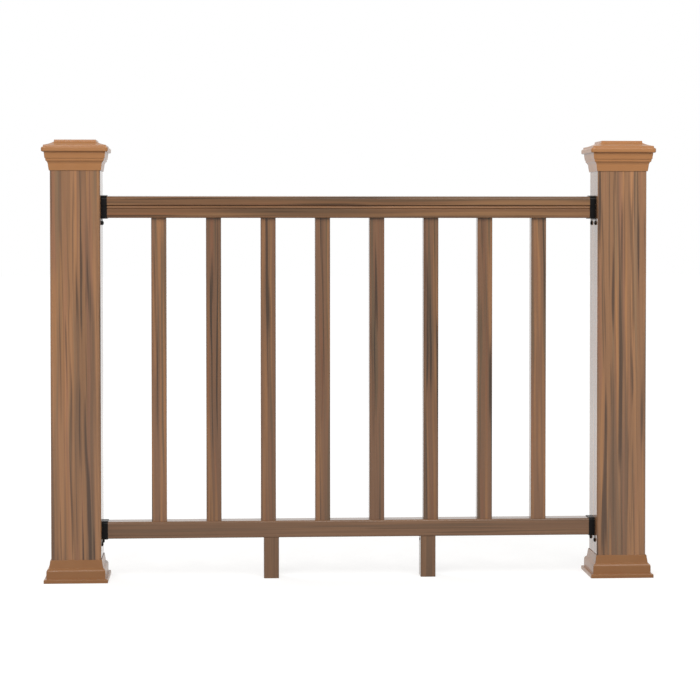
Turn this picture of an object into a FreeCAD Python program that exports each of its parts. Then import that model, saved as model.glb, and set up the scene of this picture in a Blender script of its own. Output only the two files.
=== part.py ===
# Deck railing section: two sleeved posts with moulded caps and skirts, a handrail and a bottom rail
# held in collar brackets, square balusters between the rails, and foot blocks under the bottom rail.
# Millimetres. X runs along the railing, Y across it, Z up.
# The origin is on the deck, midway between the posts.
import FreeCAD, Part
import math
import os

# Post sleeves: hollow square extrusions that slip over the timber posts of a deck
POST_SPACING = 1300.0
POST_WIDTH = 118.0
POST_WALL = 9.0
POST_ABOVE_RAIL = 96.0
POST_CORNER_RADIUS = 6.0
POST_BORE_RADIUS = 3.0

# Post caps, from the neck up: drafted neck, cove, quirk, band, drip step, drafted fascia, round-edged
# brim, set-in fillet, slightly hollow slope and a stepped flat top
CAP_FIT = 0.4
CAP_OVERLAP = 37.0
CAP_NECK_WALL = 1.4
CAP_NECK_DRAFT = 2.0
CAP_NECK_HEIGHT = 12.5
CAP_COVE_REACH = 4.2
CAP_COVE_HEIGHT = 10.2
CAP_QUIRK = 1.0
CAP_BAND_DRAFT = 0.6
CAP_BAND_HEIGHT = 6.0
CAP_DRIP_STEP = 1.4
CAP_FASCIA_DRAFT = 2.0
CAP_FASCIA_HEIGHT = 15.3
CAP_BRIM_REACH = 6.2
CAP_BRIM_HEIGHT = 11.2
CAP_BRIM_EDGE_RADIUS = 3.0
CAP_BRIM_CORNER_RADIUS = 6.0
CAP_FILLET_INSET = 4.6
CAP_FILLET_DRAFT = 0.6
CAP_FILLET_HEIGHT = 5.0
CAP_SLOPE_REACH = 23.4
CAP_SLOPE_HEIGHT = 8.0
CAP_STEP_DRAFT = 0.5
CAP_STEP_HEIGHT = 4.8
CAP_ROOF_THICKNESS = 9.0

# Post skirts, from the deck up: plinth, ledge, band, round shoulder and a flared collar against the sleeve
SKIRT_FIT = 0.4
SKIRT_WALL = 3.0
SKIRT_LIP_WALL = 1.2
SKIRT_COLLAR_FLARE = 3.0
SKIRT_COLLAR_HEIGHT = 19.2
SKIRT_SHOULDER_REACH = 5.8
SKIRT_SHOULDER_HEIGHT = 8.3
SKIRT_BAND_HEIGHT = 17.0
SKIRT_LEDGE_REACH = 6.0
SKIRT_PLINTH_HEIGHT = 9.0
SKIRT_PLINTH_RADIUS = 2.0

# Handrail profile, from the underside up: body, groove, bead, groove and a crowned top
RAIL_TOP_ABOVE_DECK = 914.0
RAIL_BODY_DEPTH = 54.0
RAIL_BODY_HEIGHT = 20.5
RAIL_BODY_RADIUS = 2.5
RAIL_WAIST_DEPTH = 50.0
RAIL_GROOVE_HEIGHT = 2.5
RAIL_BEAD_RADIUS = 2.5
RAIL_CROWN_DEPTH = 60.0
RAIL_CROWN_HEIGHT = 22.0
RAIL_CROWN_RADIUS = 7.0
RAIL_CROWN_LIP_RADIUS = 1.5
RAIL_CROWN_RISE = 1.5

# Bottom rail profile
BOTTOM_RAIL_ABOVE_DECK = 98.0
BOTTOM_RAIL_DEPTH = 50.0
BOTTOM_RAIL_HEIGHT = 40.0
BOTTOM_RAIL_TOP_RADIUS = 5.0
BOTTOM_RAIL_LOWER_RADIUS = 2.0

# Balusters, and the foot blocks, which are as wide as a baluster and as deep as the bottom rail
BALUSTER_WIDTH = 36.0
BALUSTER_RADIUS = 3.0
BALUSTER_PITCH = 130.0
BALUSTER_SMALLEST_END_GAP = 60.0
FOOT_SPACING = 376.0

# Sheet metal collar brackets that hold the rail ends: a collar on a thin back plate, which has two
# screw ears on the post's face below the rail
BRACKET_FIT = 0.3
BRACKET_GAUGE = 1.5
BRACKET_LENGTH = 14.0
BRACKET_PLATE_GAUGE = 1.0
BRACKET_PLATE_DROP = 4.0
BRACKET_SCREW_SPACING = 58.0
BRACKET_SCREW_DROP = 12.0
BRACKET_SCREW_BORE = 4.5
BRACKET_EAR_RADIUS = 5.0

# Bulge of an outline edge: the tangent of a quarter of the angle that its arc turns, as in drawing files.
# Outlines are followed upwards, so a positive bulge swells outwards and a negative one hollows inwards.
QUARTER_ROUND = math.tan(math.radians(90.0) / 4)
SHOULDER_ROUND = math.tan(math.radians(70.0) / 4)
HALF_ROUND = math.tan(math.radians(180.0) / 4)
SOFT_HOLLOW = math.tan(math.radians(50.0) / 4)
SLIGHT_HOLLOW = math.tan(math.radians(20.0) / 4)

X_AXIS = FreeCAD.Vector(1, 0, 0)
Y_AXIS = FreeCAD.Vector(0, 1, 0)
Z_AXIS = FreeCAD.Vector(0, 0, 1)
ORIGIN = FreeCAD.Vector(0, 0, 0)

# Largest angle, in radians, between directions that count as parallel
PARALLEL_TOLERANCE = 1e-6


def outline_edge(start, end, bulge, side):
    """Straight edge or arc between two (half width, height) points, on the right or the left side."""
    points = [start, end]
    if bulge:
        run, rise = end[0] - start[0], end[1] - start[1]
        middle = ((start[0] + end[0] + bulge * rise) / 2, (start[1] + end[1] - bulge * run) / 2)
        points.insert(1, middle)
    vectors = [FreeCAD.Vector(side * half_width, 0, height) for half_width, height in points]
    curve = Part.Arc(*vectors) if bulge else Part.LineSegment(*vectors)
    return curve.toShape()


def symmetric_face(steps):
    """Face in the XZ plane from the (half width, height, bulge) steps of its right half.

    The steps start and end on the centre line.
    """
    edges = []
    for side in (1, -1):
        for before, after in zip(steps, steps[1:]):
            edges.append(outline_edge(before[:2], after[:2], after[2], side))
    return Part.Face(Part.Wire(Part.__sortEdges__(edges)))


def square_moulding(steps):
    """Solid with the same moulded outline on all four sides, mitred at its corners."""
    face = symmetric_face(steps)
    width = face.BoundBox.XLength
    bar = face.extrude(Y_AXIS * width)
    bar.translate(Y_AXIS * (-width / 2))
    crossing_bar = bar.copy()
    crossing_bar.rotate(ORIGIN, Z_AXIS, 90)
    return bar.common(crossing_bar).Solids[0]


def rail_length_solid(face, start, length):
    """Extrude a symmetric face along the railing, with its width turned across it."""
    turned = face.copy()
    turned.rotate(ORIGIN, Z_AXIS, 90)
    turned.translate(X_AXIS * start)
    return turned.extrude(X_AXIS * length)


def upright_bar(width, depth, radius, bottom, top):
    """Upright bar about the Z axis with rounded corners."""
    bar = Part.makeBox(width, depth, top - bottom, FreeCAD.Vector(-width / 2, -depth / 2, bottom))
    upright = [edge for edge in bar.Edges if edge.Curve.Direction.isParallel(Z_AXIS, PARALLEL_TOLERANCE)]
    return bar.makeFillet(radius, upright)


def square_bar(width, radius, bottom, top):
    """Upright square bar about the Z axis with rounded corners."""
    return upright_bar(width, width, radius, bottom, top)


# Sizes that several pieces share
POST_HEIGHT = RAIL_TOP_ABOVE_DECK + POST_ABOVE_RAIL
POST_BORE = POST_WIDTH - 2 * POST_WALL
POST_FACE = POST_SPACING / 2 - POST_WIDTH / 2
RAIL_HEIGHT = RAIL_BODY_HEIGHT + 2 * RAIL_GROOVE_HEIGHT + 2 * RAIL_BEAD_RADIUS + RAIL_CROWN_HEIGHT
RAIL_UNDERSIDE = RAIL_TOP_ABOVE_DECK - RAIL_HEIGHT
BOTTOM_RAIL_TOP = BOTTOM_RAIL_ABOVE_DECK + BOTTOM_RAIL_HEIGHT
RAIL_LENGTH = 2 * (POST_FACE - BRACKET_PLATE_GAUGE)


def post_sleeve():
    """Hollow square post sleeve, standing on the deck."""
    outside = square_bar(POST_WIDTH, POST_CORNER_RADIUS, 0, POST_HEIGHT)
    bore = square_bar(POST_BORE, POST_BORE_RADIUS, 0, POST_HEIGHT)
    return outside.cut(bore)


def post_cap():
    """Moulded cap whose neck slips over the sleeve and whose ledge seats on the sleeve's end."""
    lip_half = POST_WIDTH / 2 + CAP_FIT + CAP_NECK_WALL
    neck_half = lip_half + CAP_NECK_DRAFT
    cove_half = neck_half + CAP_COVE_REACH
    band_half = cove_half + CAP_QUIRK
    band_top_half = band_half + CAP_BAND_DRAFT
    fascia_half = band_top_half + CAP_DRIP_STEP
    fascia_top_half = fascia_half + CAP_FASCIA_DRAFT
    brim_half = fascia_top_half + CAP_BRIM_REACH
    fillet_half = brim_half - CAP_FILLET_INSET
    slope_half = fillet_half - CAP_FILLET_DRAFT
    step_half = slope_half - CAP_SLOPE_REACH
    neck_bottom = POST_HEIGHT - CAP_OVERLAP
    neck_top = neck_bottom + CAP_NECK_HEIGHT
    cove_top = neck_top + CAP_COVE_HEIGHT
    fascia_bottom = cove_top + CAP_BAND_HEIGHT
    brim_bottom = fascia_bottom + CAP_FASCIA_HEIGHT
    brim_top = brim_bottom + CAP_BRIM_HEIGHT
    fillet_top = brim_top + CAP_FILLET_HEIGHT
    slope_top = fillet_top + CAP_SLOPE_HEIGHT
    cap_top = slope_top + CAP_STEP_HEIGHT
    crown = square_moulding([
        (0, neck_bottom, 0),
        (lip_half, neck_bottom, 0),
        (neck_half, neck_top, 0),
        (cove_half, cove_top, -SOFT_HOLLOW),
        (band_half, cove_top, 0),
        (band_top_half, fascia_bottom, 0),
        (fascia_half, fascia_bottom, 0),
        (fascia_top_half, brim_bottom, 0),
        (brim_half - CAP_BRIM_EDGE_RADIUS, brim_bottom, 0),
        (brim_half, brim_bottom + CAP_BRIM_EDGE_RADIUS, QUARTER_ROUND),
        (brim_half, brim_top - CAP_BRIM_EDGE_RADIUS, 0),
        (brim_half - CAP_BRIM_EDGE_RADIUS, brim_top, QUARTER_ROUND),
        (fillet_half, brim_top, 0),
        (slope_half, fillet_top, 0),
        (step_half, slope_top, -SLIGHT_HOLLOW),
        (step_half - CAP_STEP_DRAFT, cap_top, 0),
        (0, cap_top, 0),
    ])
    crown = crown.common(square_bar(2 * brim_half, CAP_BRIM_CORNER_RADIUS, neck_bottom, cap_top))
    socket = square_bar(POST_WIDTH + 2 * CAP_FIT, POST_CORNER_RADIUS, neck_bottom, POST_HEIGHT)
    relief = square_bar(POST_BORE, POST_BORE_RADIUS, POST_HEIGHT, cap_top - CAP_ROOF_THICKNESS)
    return crown.cut(socket).cut(relief)


def post_skirt():
    """Thin moulded skirt round the foot of the sleeve, open underneath."""
    lip_half = POST_WIDTH / 2 + SKIRT_FIT + SKIRT_LIP_WALL
    collar_half = lip_half + SKIRT_COLLAR_FLARE
    band_half = collar_half + SKIRT_SHOULDER_REACH
    plinth_half = band_half + SKIRT_LEDGE_REACH
    band_top = SKIRT_PLINTH_HEIGHT + SKIRT_BAND_HEIGHT
    collar_bottom = band_top + SKIRT_SHOULDER_HEIGHT
    skirt_top = collar_bottom + SKIRT_COLLAR_HEIGHT
    outside = square_moulding([
        (0, 0, 0),
        (plinth_half, 0, 0),
        (plinth_half, SKIRT_PLINTH_HEIGHT - SKIRT_PLINTH_RADIUS, 0),
        (plinth_half - SKIRT_PLINTH_RADIUS, SKIRT_PLINTH_HEIGHT, QUARTER_ROUND),
        (band_half, SKIRT_PLINTH_HEIGHT, 0),
        (band_half, band_top, 0),
        (collar_half, collar_bottom, SHOULDER_ROUND),
        (lip_half, skirt_top, 0),
        (0, skirt_top, 0),
    ])
    inside = square_moulding([
        (0, 0, 0),
        (plinth_half - SKIRT_WALL, 0, 0),
        (plinth_half - SKIRT_WALL, SKIRT_PLINTH_HEIGHT - SKIRT_WALL, 0),
        (band_half - SKIRT_WALL, SKIRT_PLINTH_HEIGHT - SKIRT_WALL, 0),
        (band_half - SKIRT_WALL, band_top - SKIRT_WALL, 0),
        (0, band_top - SKIRT_WALL, 0),
    ])
    sleeve_hole = square_bar(POST_WIDTH + 2 * SKIRT_FIT, POST_CORNER_RADIUS, 0, skirt_top)
    return outside.cut(inside).cut(sleeve_hole)


def handrail_face():
    """Cross-section of the handrail: body, two grooves with a bead between them, and the crowned top."""
    body_half = RAIL_BODY_DEPTH / 2
    waist_half = RAIL_WAIST_DEPTH / 2
    crown_half = RAIL_CROWN_DEPTH / 2
    body_top = RAIL_UNDERSIDE + RAIL_BODY_HEIGHT
    bead_bottom = body_top + RAIL_GROOVE_HEIGHT
    bead_top = bead_bottom + 2 * RAIL_BEAD_RADIUS
    crown_bottom = bead_top + RAIL_GROOVE_HEIGHT
    return symmetric_face([
        (0, RAIL_UNDERSIDE, 0),
        (body_half - RAIL_BODY_RADIUS, RAIL_UNDERSIDE, 0),
        (body_half, RAIL_UNDERSIDE + RAIL_BODY_RADIUS, QUARTER_ROUND),
        (body_half, body_top, 0),
        (waist_half, body_top, 0),
        (waist_half, bead_bottom, 0),
        (waist_half, bead_top, HALF_ROUND),
        (waist_half, crown_bottom, 0),
        (crown_half - RAIL_CROWN_LIP_RADIUS, crown_bottom, 0),
        (crown_half, crown_bottom + RAIL_CROWN_LIP_RADIUS, QUARTER_ROUND),
        *crown_steps(0),
    ])


def crown_steps(grow):
    """Last steps of the handrail's outline, round its crowned top, or of one that is larger all round."""
    crown_half = RAIL_CROWN_DEPTH / 2
    flat_half = crown_half - RAIL_CROWN_RADIUS
    edge_top = RAIL_TOP_ABOVE_DECK - RAIL_CROWN_RISE
    crown_bulge = math.tan(math.atan(RAIL_CROWN_RISE / flat_half) / 2)
    return [
        (crown_half + grow, edge_top - RAIL_CROWN_RADIUS, 0),
        (flat_half, edge_top + grow, QUARTER_ROUND),
        (0, RAIL_TOP_ABOVE_DECK + grow, crown_bulge),
    ]


def handrail_collar_face(grow):
    """Plain stepped outline round the handrail, larger than it all round."""
    waist_half = max(RAIL_BODY_DEPTH / 2, RAIL_WAIST_DEPTH / 2 + RAIL_BEAD_RADIUS)
    shoulder = RAIL_TOP_ABOVE_DECK - RAIL_CROWN_HEIGHT
    return symmetric_face([
        (0, RAIL_UNDERSIDE - grow, 0),
        (waist_half + grow, RAIL_UNDERSIDE - grow, 0),
        (waist_half + grow, shoulder - grow, 0),
        (RAIL_CROWN_DEPTH / 2 + grow, shoulder - grow, 0),
        *crown_steps(grow),
    ])


def bottom_rail_face(grow):
    """Cross-section of the bottom rail, or of an outline that is larger all round."""
    half = BOTTOM_RAIL_DEPTH / 2
    lower_half = half - BOTTOM_RAIL_LOWER_RADIUS
    top_half = half - BOTTOM_RAIL_TOP_RADIUS
    return symmetric_face([
        (0, BOTTOM_RAIL_ABOVE_DECK - grow, 0),
        (lower_half, BOTTOM_RAIL_ABOVE_DECK - grow, 0),
        (half + grow, BOTTOM_RAIL_ABOVE_DECK + BOTTOM_RAIL_LOWER_RADIUS, QUARTER_ROUND),
        (half + grow, BOTTOM_RAIL_TOP - BOTTOM_RAIL_TOP_RADIUS, 0),
        (top_half, BOTTOM_RAIL_TOP + grow, QUARTER_ROUND),
        (0, BOTTOM_RAIL_TOP + grow, 0),
    ])


def left_bracket(collar_face, underside):
    """Bracket on the left post's face: collar round the rail's end, on a back plate with two screw ears."""
    pocket_length = BRACKET_LENGTH - BRACKET_PLATE_GAUGE
    collar = rail_length_solid(collar_face(BRACKET_FIT + BRACKET_GAUGE), -POST_FACE, BRACKET_LENGTH)
    pocket = rail_length_solid(collar_face(BRACKET_FIT), BRACKET_PLATE_GAUGE - POST_FACE, pocket_length)
    screw_half = BRACKET_SCREW_SPACING / 2
    screw_height = underside - BRACKET_SCREW_DROP
    ear_inside = screw_half - BRACKET_EAR_RADIUS
    ear_outside = screw_half + BRACKET_EAR_RADIUS
    plate_bottom = underside - BRACKET_PLATE_DROP
    plate_face = symmetric_face([
        (0, plate_bottom, 0),
        (ear_inside, plate_bottom, 0),
        (ear_inside, screw_height, 0),
        (ear_outside, screw_height, HALF_ROUND),
        (ear_outside, underside - BRACKET_EAR_RADIUS, 0),
        (screw_half, underside, QUARTER_ROUND),
        (0, underside, 0),
    ])
    plate = rail_length_solid(plate_face, -POST_FACE, BRACKET_PLATE_GAUGE)
    bracket = collar.cut(pocket).fuse(plate).removeSplitter()
    for across in (-screw_half, screw_half):
        bore_start = FreeCAD.Vector(-POST_FACE, across, screw_height)
        bore = Part.makeCylinder(BRACKET_SCREW_BORE / 2, BRACKET_PLATE_GAUGE, bore_start, X_AXIS)
        bracket = bracket.cut(bore)
    return bracket


def placed(shape, x, turned=False):
    """Copy of a shape at a place along the railing, turned half round if it faces the other way."""
    copy = shape.copy()
    if turned:
        copy.rotate(ORIGIN, Z_AXIS, 180)
    copy.translate(X_AXIS * x)
    return copy


def railing_pieces():
    """All pieces of the section by name, where they stand."""
    pieces = {}
    for name, shape in (("sleeve", post_sleeve()), ("cap", post_cap()), ("skirt", post_skirt())):
        pieces[f"left_post_{name}"] = placed(shape, -POST_SPACING / 2)
        pieces[f"right_post_{name}"] = placed(shape, POST_SPACING / 2)

    pieces["top_rail"] = rail_length_solid(handrail_face(), -RAIL_LENGTH / 2, RAIL_LENGTH)
    pieces["bottom_rail"] = rail_length_solid(bottom_rail_face(0), -RAIL_LENGTH / 2, RAIL_LENGTH)

    top_bracket = left_bracket(handrail_collar_face, RAIL_UNDERSIDE)
    bottom_bracket = left_bracket(bottom_rail_face, BOTTOM_RAIL_ABOVE_DECK)
    for name, shape in (("top", top_bracket), ("bottom", bottom_bracket)):
        pieces[f"{name}_left_bracket"] = placed(shape, 0)
        pieces[f"{name}_right_bracket"] = placed(shape, 0, turned=True)

    baluster = square_bar(BALUSTER_WIDTH, BALUSTER_RADIUS, BOTTOM_RAIL_TOP, RAIL_UNDERSIDE)
    room = 2 * (POST_FACE - BALUSTER_SMALLEST_END_GAP) - BALUSTER_WIDTH
    gaps = int(room // BALUSTER_PITCH)
    for index in range(gaps + 1):
        pieces[f"baluster_{index + 1}"] = placed(baluster, (index - gaps / 2) * BALUSTER_PITCH)

    foot = upright_bar(BALUSTER_WIDTH, BOTTOM_RAIL_DEPTH, BALUSTER_RADIUS, 0, BOTTOM_RAIL_ABOVE_DECK)
    pieces["left_foot_block"] = placed(foot, -FOOT_SPACING / 2)
    pieces["right_foot_block"] = placed(foot, FOOT_SPACING / 2)
    return pieces


os.makedirs("parts", exist_ok=True)
for node, piece in railing_pieces().items():
    piece.exportStep(f"parts/{node}.step")
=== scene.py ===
"""Looks of a composite deck railing section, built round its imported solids.

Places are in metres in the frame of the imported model: X along the railing, Y across it, Z up, with the
origin on the deck midway between the posts. The fields that shape a piece are in millimetres.
"""
import cmath
import logging
import math
from dataclasses import dataclass, replace
from enum import Enum
from functools import partial
from typing import Any, Callable, Sequence

import bmesh
import bpy
from mathutils import Euler, Matrix, Vector


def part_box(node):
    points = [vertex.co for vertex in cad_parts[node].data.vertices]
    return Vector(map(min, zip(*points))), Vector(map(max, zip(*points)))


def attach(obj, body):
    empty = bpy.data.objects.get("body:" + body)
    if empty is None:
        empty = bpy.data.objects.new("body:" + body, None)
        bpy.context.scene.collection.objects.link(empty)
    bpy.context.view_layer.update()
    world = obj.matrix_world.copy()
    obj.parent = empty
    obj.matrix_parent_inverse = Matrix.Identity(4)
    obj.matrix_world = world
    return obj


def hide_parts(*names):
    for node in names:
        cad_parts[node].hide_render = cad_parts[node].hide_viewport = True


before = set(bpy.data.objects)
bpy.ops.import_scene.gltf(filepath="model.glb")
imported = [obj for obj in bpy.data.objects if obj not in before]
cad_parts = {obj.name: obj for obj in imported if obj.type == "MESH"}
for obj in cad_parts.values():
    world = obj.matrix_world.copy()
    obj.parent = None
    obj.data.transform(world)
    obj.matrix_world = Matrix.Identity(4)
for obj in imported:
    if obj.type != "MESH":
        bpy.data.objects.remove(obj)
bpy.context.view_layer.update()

BODY = "root"
MM = 0.001
SMOOTH_ANGLE = math.radians(33.0)
MERGE_DISTANCE = 0.01 * MM
LOG = logging.getLogger("deck_railing")

Point = tuple[float, float]
Step = tuple[float, float, float]
Triple = tuple[float, float, float]
Seat = tuple[Vector, Vector]
Material = bpy.types.Material
Mesh = bpy.types.Mesh
Piece = bpy.types.Object
Socket = bpy.types.NodeSocket
Tree = bpy.types.NodeTree
Adder = Callable[..., Any]


class Grain(Enum):
    """Which way a piece was extruded, and so which way its streaks run."""

    UPRIGHT = "upright"
    LENGTHWISE = "lengthwise"

    def scale(self, across: float, along: float) -> Triple:
        """Texture scale per axis for streaks that are so wide and so long, in metres."""
        wide, long = 1 / across, 1 / along
        return (wide, wide, long) if self is Grain.UPRIGHT else (long, wide, wide)

    def slant(self, angle: float) -> Triple:
        """Turn that leans the streaks by an angle, in radians, on the faces beside the grain."""
        return (angle, angle, 0.0) if self is Grain.UPRIGHT else (0.0, angle, angle)


class Side(Enum):
    """End of the section, with the way along X that points away from its middle."""

    LEFT = -1
    RIGHT = 1

    @property
    def word(self) -> str:
        """The side's name as the nodes spell it."""
        return self.name.lower()


class Level(Enum):
    """Which rail a bracket holds."""

    TOP = "top"
    BOTTOM = "bottom"


def linear(hex_colour: str) -> tuple[float, float, float, float]:
    """Turn an sRGB hex colour into linear light.

    Args:
        hex_colour: Six hex digits after a hash sign.

    Returns:
        Red, green, blue and an alpha of one.
    """
    channels = [int(hex_colour[start:start + 2], 16) / 255 for start in (1, 3, 5)]
    red, green, blue = [c / 12.92 if c <= 0.04045 else ((c + 0.055) / 1.055) ** 2.4 for c in channels]
    return red, green, blue, 1.0


def add_node(
    tree: Tree, kind: str, settings: dict[Any, Any] | None = None, links: dict[Any, Socket] | None = None
) -> Any:
    """Add a node, set it up and wire its inputs.

    Args:
        tree: Node tree that gets the node.
        kind: Blender's name of the node type.
        settings: Values by property name, or by the name or number of an input.
        links: Output sockets by the name or number of the input that they feed.

    Returns:
        The new node's outputs, by name or number.
    """
    node = tree.nodes.new(kind)
    for key, value in (settings or {}).items():
        if isinstance(key, str) and hasattr(node, key):
            setattr(node, key, value)
        else:
            node.inputs[key].default_value = value
    for key, socket in (links or {}).items():
        tree.links.new(socket, node.inputs[key])
    return node.outputs


def blank_material(name: str) -> tuple[Material, Adder]:
    """Make a material with nothing in it.

    Args:
        name: Name of the material.

    Returns:
        The material, and add_node for its tree.
    """
    material = bpy.data.materials.new(name)
    material.use_nodes = True
    material.node_tree.nodes.clear()
    return material, partial(add_node, material.node_tree)


@dataclass(frozen=True)
class Surface:
    """How a finish takes the light: its roughness, fine relief and shine, and a clear skin if it has one."""

    roughness: float
    roughness_swing: float
    relief: float
    relief_depth_mm: float
    shine: float
    skin: float = 0.0
    skin_roughness: float = 0.03

    def end_material(self, add: Adder, colour: Socket, wear: Socket, height: Socket) -> None:
        """Add a material's shader and its output.

        Args:
            add: Adds a node to the material.
            colour: Colour of the surface.
            wear: Noise that the roughness follows.
            height: Noise that the relief follows.
        """
        least = self.roughness - self.roughness_swing / 2
        swing = {"operation": "MULTIPLY_ADD", 1: self.roughness_swing, 2: least}
        rough = add("ShaderNodeMath", swing, {0: wear})
        depth = {"Strength": self.relief, "Distance": self.relief_depth_mm * MM}
        bump = add("ShaderNodeBump", depth, {"Height": height})
        skin = {"Coat Weight": self.skin, "Coat Roughness": self.skin_roughness}
        gloss = {"Specular IOR Level": self.shine, **skin}
        feeds = {"Base Color": colour, "Roughness": rough[0], "Normal": bump[0]}
        shader = add("ShaderNodeBsdfPrincipled", gloss, feeds)
        add("ShaderNodeOutputMaterial", {}, {"Surface": shader[0]})


@dataclass(frozen=True)
class Streaks:
    """One set of streaks in the composite: a colour, the size of its marks and the noise that shows them."""

    colour: str
    size_mm: Point
    start: float
    full: float
    strength: float


# A brushed skin gives a low satin sheen, and goes pale where it is seen along its face
BRUSHED_SURFACE = Surface(
    roughness=0.18, roughness_swing=0.12, relief=0.5, relief_depth_mm=0.05,
    shine=0.12, skin=0.5, skin_roughness=0.12,
)


@dataclass(frozen=True)
class StreakedComposite:
    """Wood-plastic composite, co-extruded with streaks of pigment and brushed along its length.

    The pigments never blend fully in the die, so long tapering streaks of warm, grey and dark brown run
    the whole length of a piece, and brushing leaves fine lines along it.
    """

    name: str
    grain: Grain
    body: str
    layers: tuple[Streaks, ...]
    surface: Surface = BRUSHED_SURFACE
    line_contrast: float = 0.2
    slant_deg: float = 0.55
    waver_mm: float = 7.0
    shift: float = 7.31

    # Brushed lines are finer than a pixel of the render, so they are drawn about three times as wide as real
    LINE_MM = (3.2, 210.0)
    LINE_DETAIL = 2.0
    STREAK_DETAIL = 1.5
    WAVER_SPAN_MM = 330.0
    WAVER_DETAIL = 1.0

    def streak_noise(self, add: Adder, place: Socket, size_mm: Point, shift: float, detail: float) -> Socket:
        """Noise drawn out along the grain.

        Args:
            add: Adds a node to the material.
            place: Coordinates in metres.
            size_mm: Width and length of a mark.
            shift: Offset that keeps one layer's marks apart from another's.
            detail: Octaves of finer marks inside the large ones.

        Returns:
            The noise's value.
        """
        scale = self.grain.scale(size_mm[0] * MM, size_mm[1] * MM)
        drawn_out = {"Scale": scale, "Location": (shift, shift / 2, shift / 3)}
        stretched = add("ShaderNodeMapping", drawn_out, {"Vector": place})
        return add("ShaderNodeTexNoise", {"Scale": 1.0, "Detail": detail}, {"Vector": stretched[0]})["Fac"]

    def wavered_place(self, add: Adder) -> Socket:
        """Object coordinates that lean and waver a little, so that no streak is ruled straight.

        Args:
            add: Adds a node to the material.

        Returns:
            Coordinates in metres.
        """
        place = add("ShaderNodeTexCoord")["Object"]
        slant = self.grain.slant(math.radians(self.slant_deg))
        leaned = add("ShaderNodeMapping", {"Rotation": slant}, {"Vector": place})[0]
        swell = {"Scale": 1 / (self.WAVER_SPAN_MM * MM), "Detail": self.WAVER_DETAIL}
        waver = add("ShaderNodeTexNoise", swell, {"Vector": leaned})["Color"]
        reach = self.waver_mm * MM
        centred = {"operation": "MULTIPLY_ADD", 1: (reach,) * 3, 2: (-reach / 2,) * 3}
        aside = add("ShaderNodeVectorMath", centred, {0: waver})[0]
        return add("ShaderNodeVectorMath", {"operation": "ADD"}, {0: leaned, 1: aside})[0]

    def material(self) -> Material:
        """Build the material.

        Returns:
            A material that reads Object coordinates and the piece's own tone attribute.
        """
        material, add = blank_material(self.name)
        place = self.wavered_place(add)
        below: dict[int, Socket] = {}
        for number, layer in enumerate(self.layers, start=1):
            noise = self.streak_noise(add, place, layer.size_mm, number * self.shift, self.STREAK_DETAIL)
            limits = {"From Min": layer.start, "From Max": layer.full, "To Max": layer.strength}
            ramp = {"interpolation_type": "SMOOTHSTEP", **limits}
            amount = add("ShaderNodeMapRange", ramp, {"Value": noise})[0]
            colours = {"data_type": "RGBA", 6: linear(self.body), 7: linear(layer.colour)}
            below = {6: add("ShaderNodeMix", colours, {0: amount, **below})[2]}
        lines = self.streak_noise(add, place, self.LINE_MM, 0.0, self.LINE_DETAIL)
        tone = add("ShaderNodeAttribute", {"attribute_name": "tone"})["Fac"]
        contrast = {"operation": "MULTIPLY_ADD", 1: 2 * self.line_contrast, 2: 1 - self.line_contrast}
        line_light = add("ShaderNodeMath", contrast, {0: lines})[0]
        light = add("ShaderNodeMath", {"operation": "ADD"}, {0: line_light, 1: tone})[0]
        lit = add("ShaderNodeVectorMath", {"operation": "SCALE"}, {0: below[6], "Scale": light})
        self.surface.end_material(add, lit[0], lines, lines)
        return material


@dataclass(frozen=True)
class MottledFinish:
    """Even finish with a faint mottle in its colour and a fine texture."""

    name: str
    colour: str
    mottle: str
    mottle_mm: float
    mottle_detail: float
    texture_mm: float
    surface: Surface

    TEXTURE_DETAIL = 1.0

    def material(self) -> Material:
        """Build the material.

        Returns:
            A material that reads Object coordinates.
        """
        material, add = blank_material(self.name)
        place = add("ShaderNodeTexCoord")["Object"]
        coarse = {"Scale": 1 / (self.mottle_mm * MM), "Detail": self.mottle_detail}
        clouds = add("ShaderNodeTexNoise", coarse, {"Vector": place})["Fac"]
        colours = {"data_type": "RGBA", 6: linear(self.colour), 7: linear(self.mottle)}
        colour = add("ShaderNodeMix", colours, {0: clouds})[2]
        fine = {"Scale": 1 / (self.texture_mm * MM), "Detail": self.TEXTURE_DETAIL}
        texture = add("ShaderNodeTexNoise", fine, {"Vector": place})["Fac"]
        self.surface.end_material(add, colour, clouds, texture)
        return material


# Posts: broad warm and grey bands, with dark streaks that taper over half a metre
LEFT_POST_COMPOSITE = StreakedComposite(
    "left_post_brushed_composite",
    Grain.UPRIGHT,
    "#976e4d",
    (
        Streaks("#b38159", (26.0, 1000.0), 0.44, 0.62, 0.80),
        Streaks("#765a45", (20.0, 800.0), 0.50, 0.66, 0.80),
        Streaks("#a06e53", (13.0, 700.0), 0.52, 0.68, 0.50),
        Streaks("#b68153", (13.0, 800.0), 0.56, 0.69, 0.65),
        Streaks("#776a54", (11.0, 600.0), 0.57, 0.70, 0.40),
        Streaks("#4c3a2e", (12.0, 520.0), 0.60, 0.70, 0.85),
        Streaks("#634c39", (6.0, 460.0), 0.57, 0.70, 0.65),
    ),
    shift=12.61,
)
# The right post is cut from another length, so its streaks fall elsewhere
RIGHT_POST_COMPOSITE = replace(LEFT_POST_COMPOSITE, name="right_post_brushed_composite", shift=8.53)
# Handrail: narrow streaks that run straight along it, duller than the posts
HANDRAIL_COMPOSITE = StreakedComposite(
    "handrail_brushed_composite",
    Grain.LENGTHWISE,
    "#815e43",
    (
        Streaks("#9a7351", (12.0, 900.0), 0.50, 0.64, 0.75),
        Streaks("#66503d", (12.0, 800.0), 0.50, 0.64, 0.75),
        Streaks("#8d563a", (8.0, 560.0), 0.56, 0.70, 0.50),
        Streaks("#443427", (6.0, 520.0), 0.58, 0.70, 0.75),
    ),
    surface=replace(BRUSHED_SURFACE, skin=0.08),
    slant_deg=0.1,
    waver_mm=3.0,
    shift=14.9,
)
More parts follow.
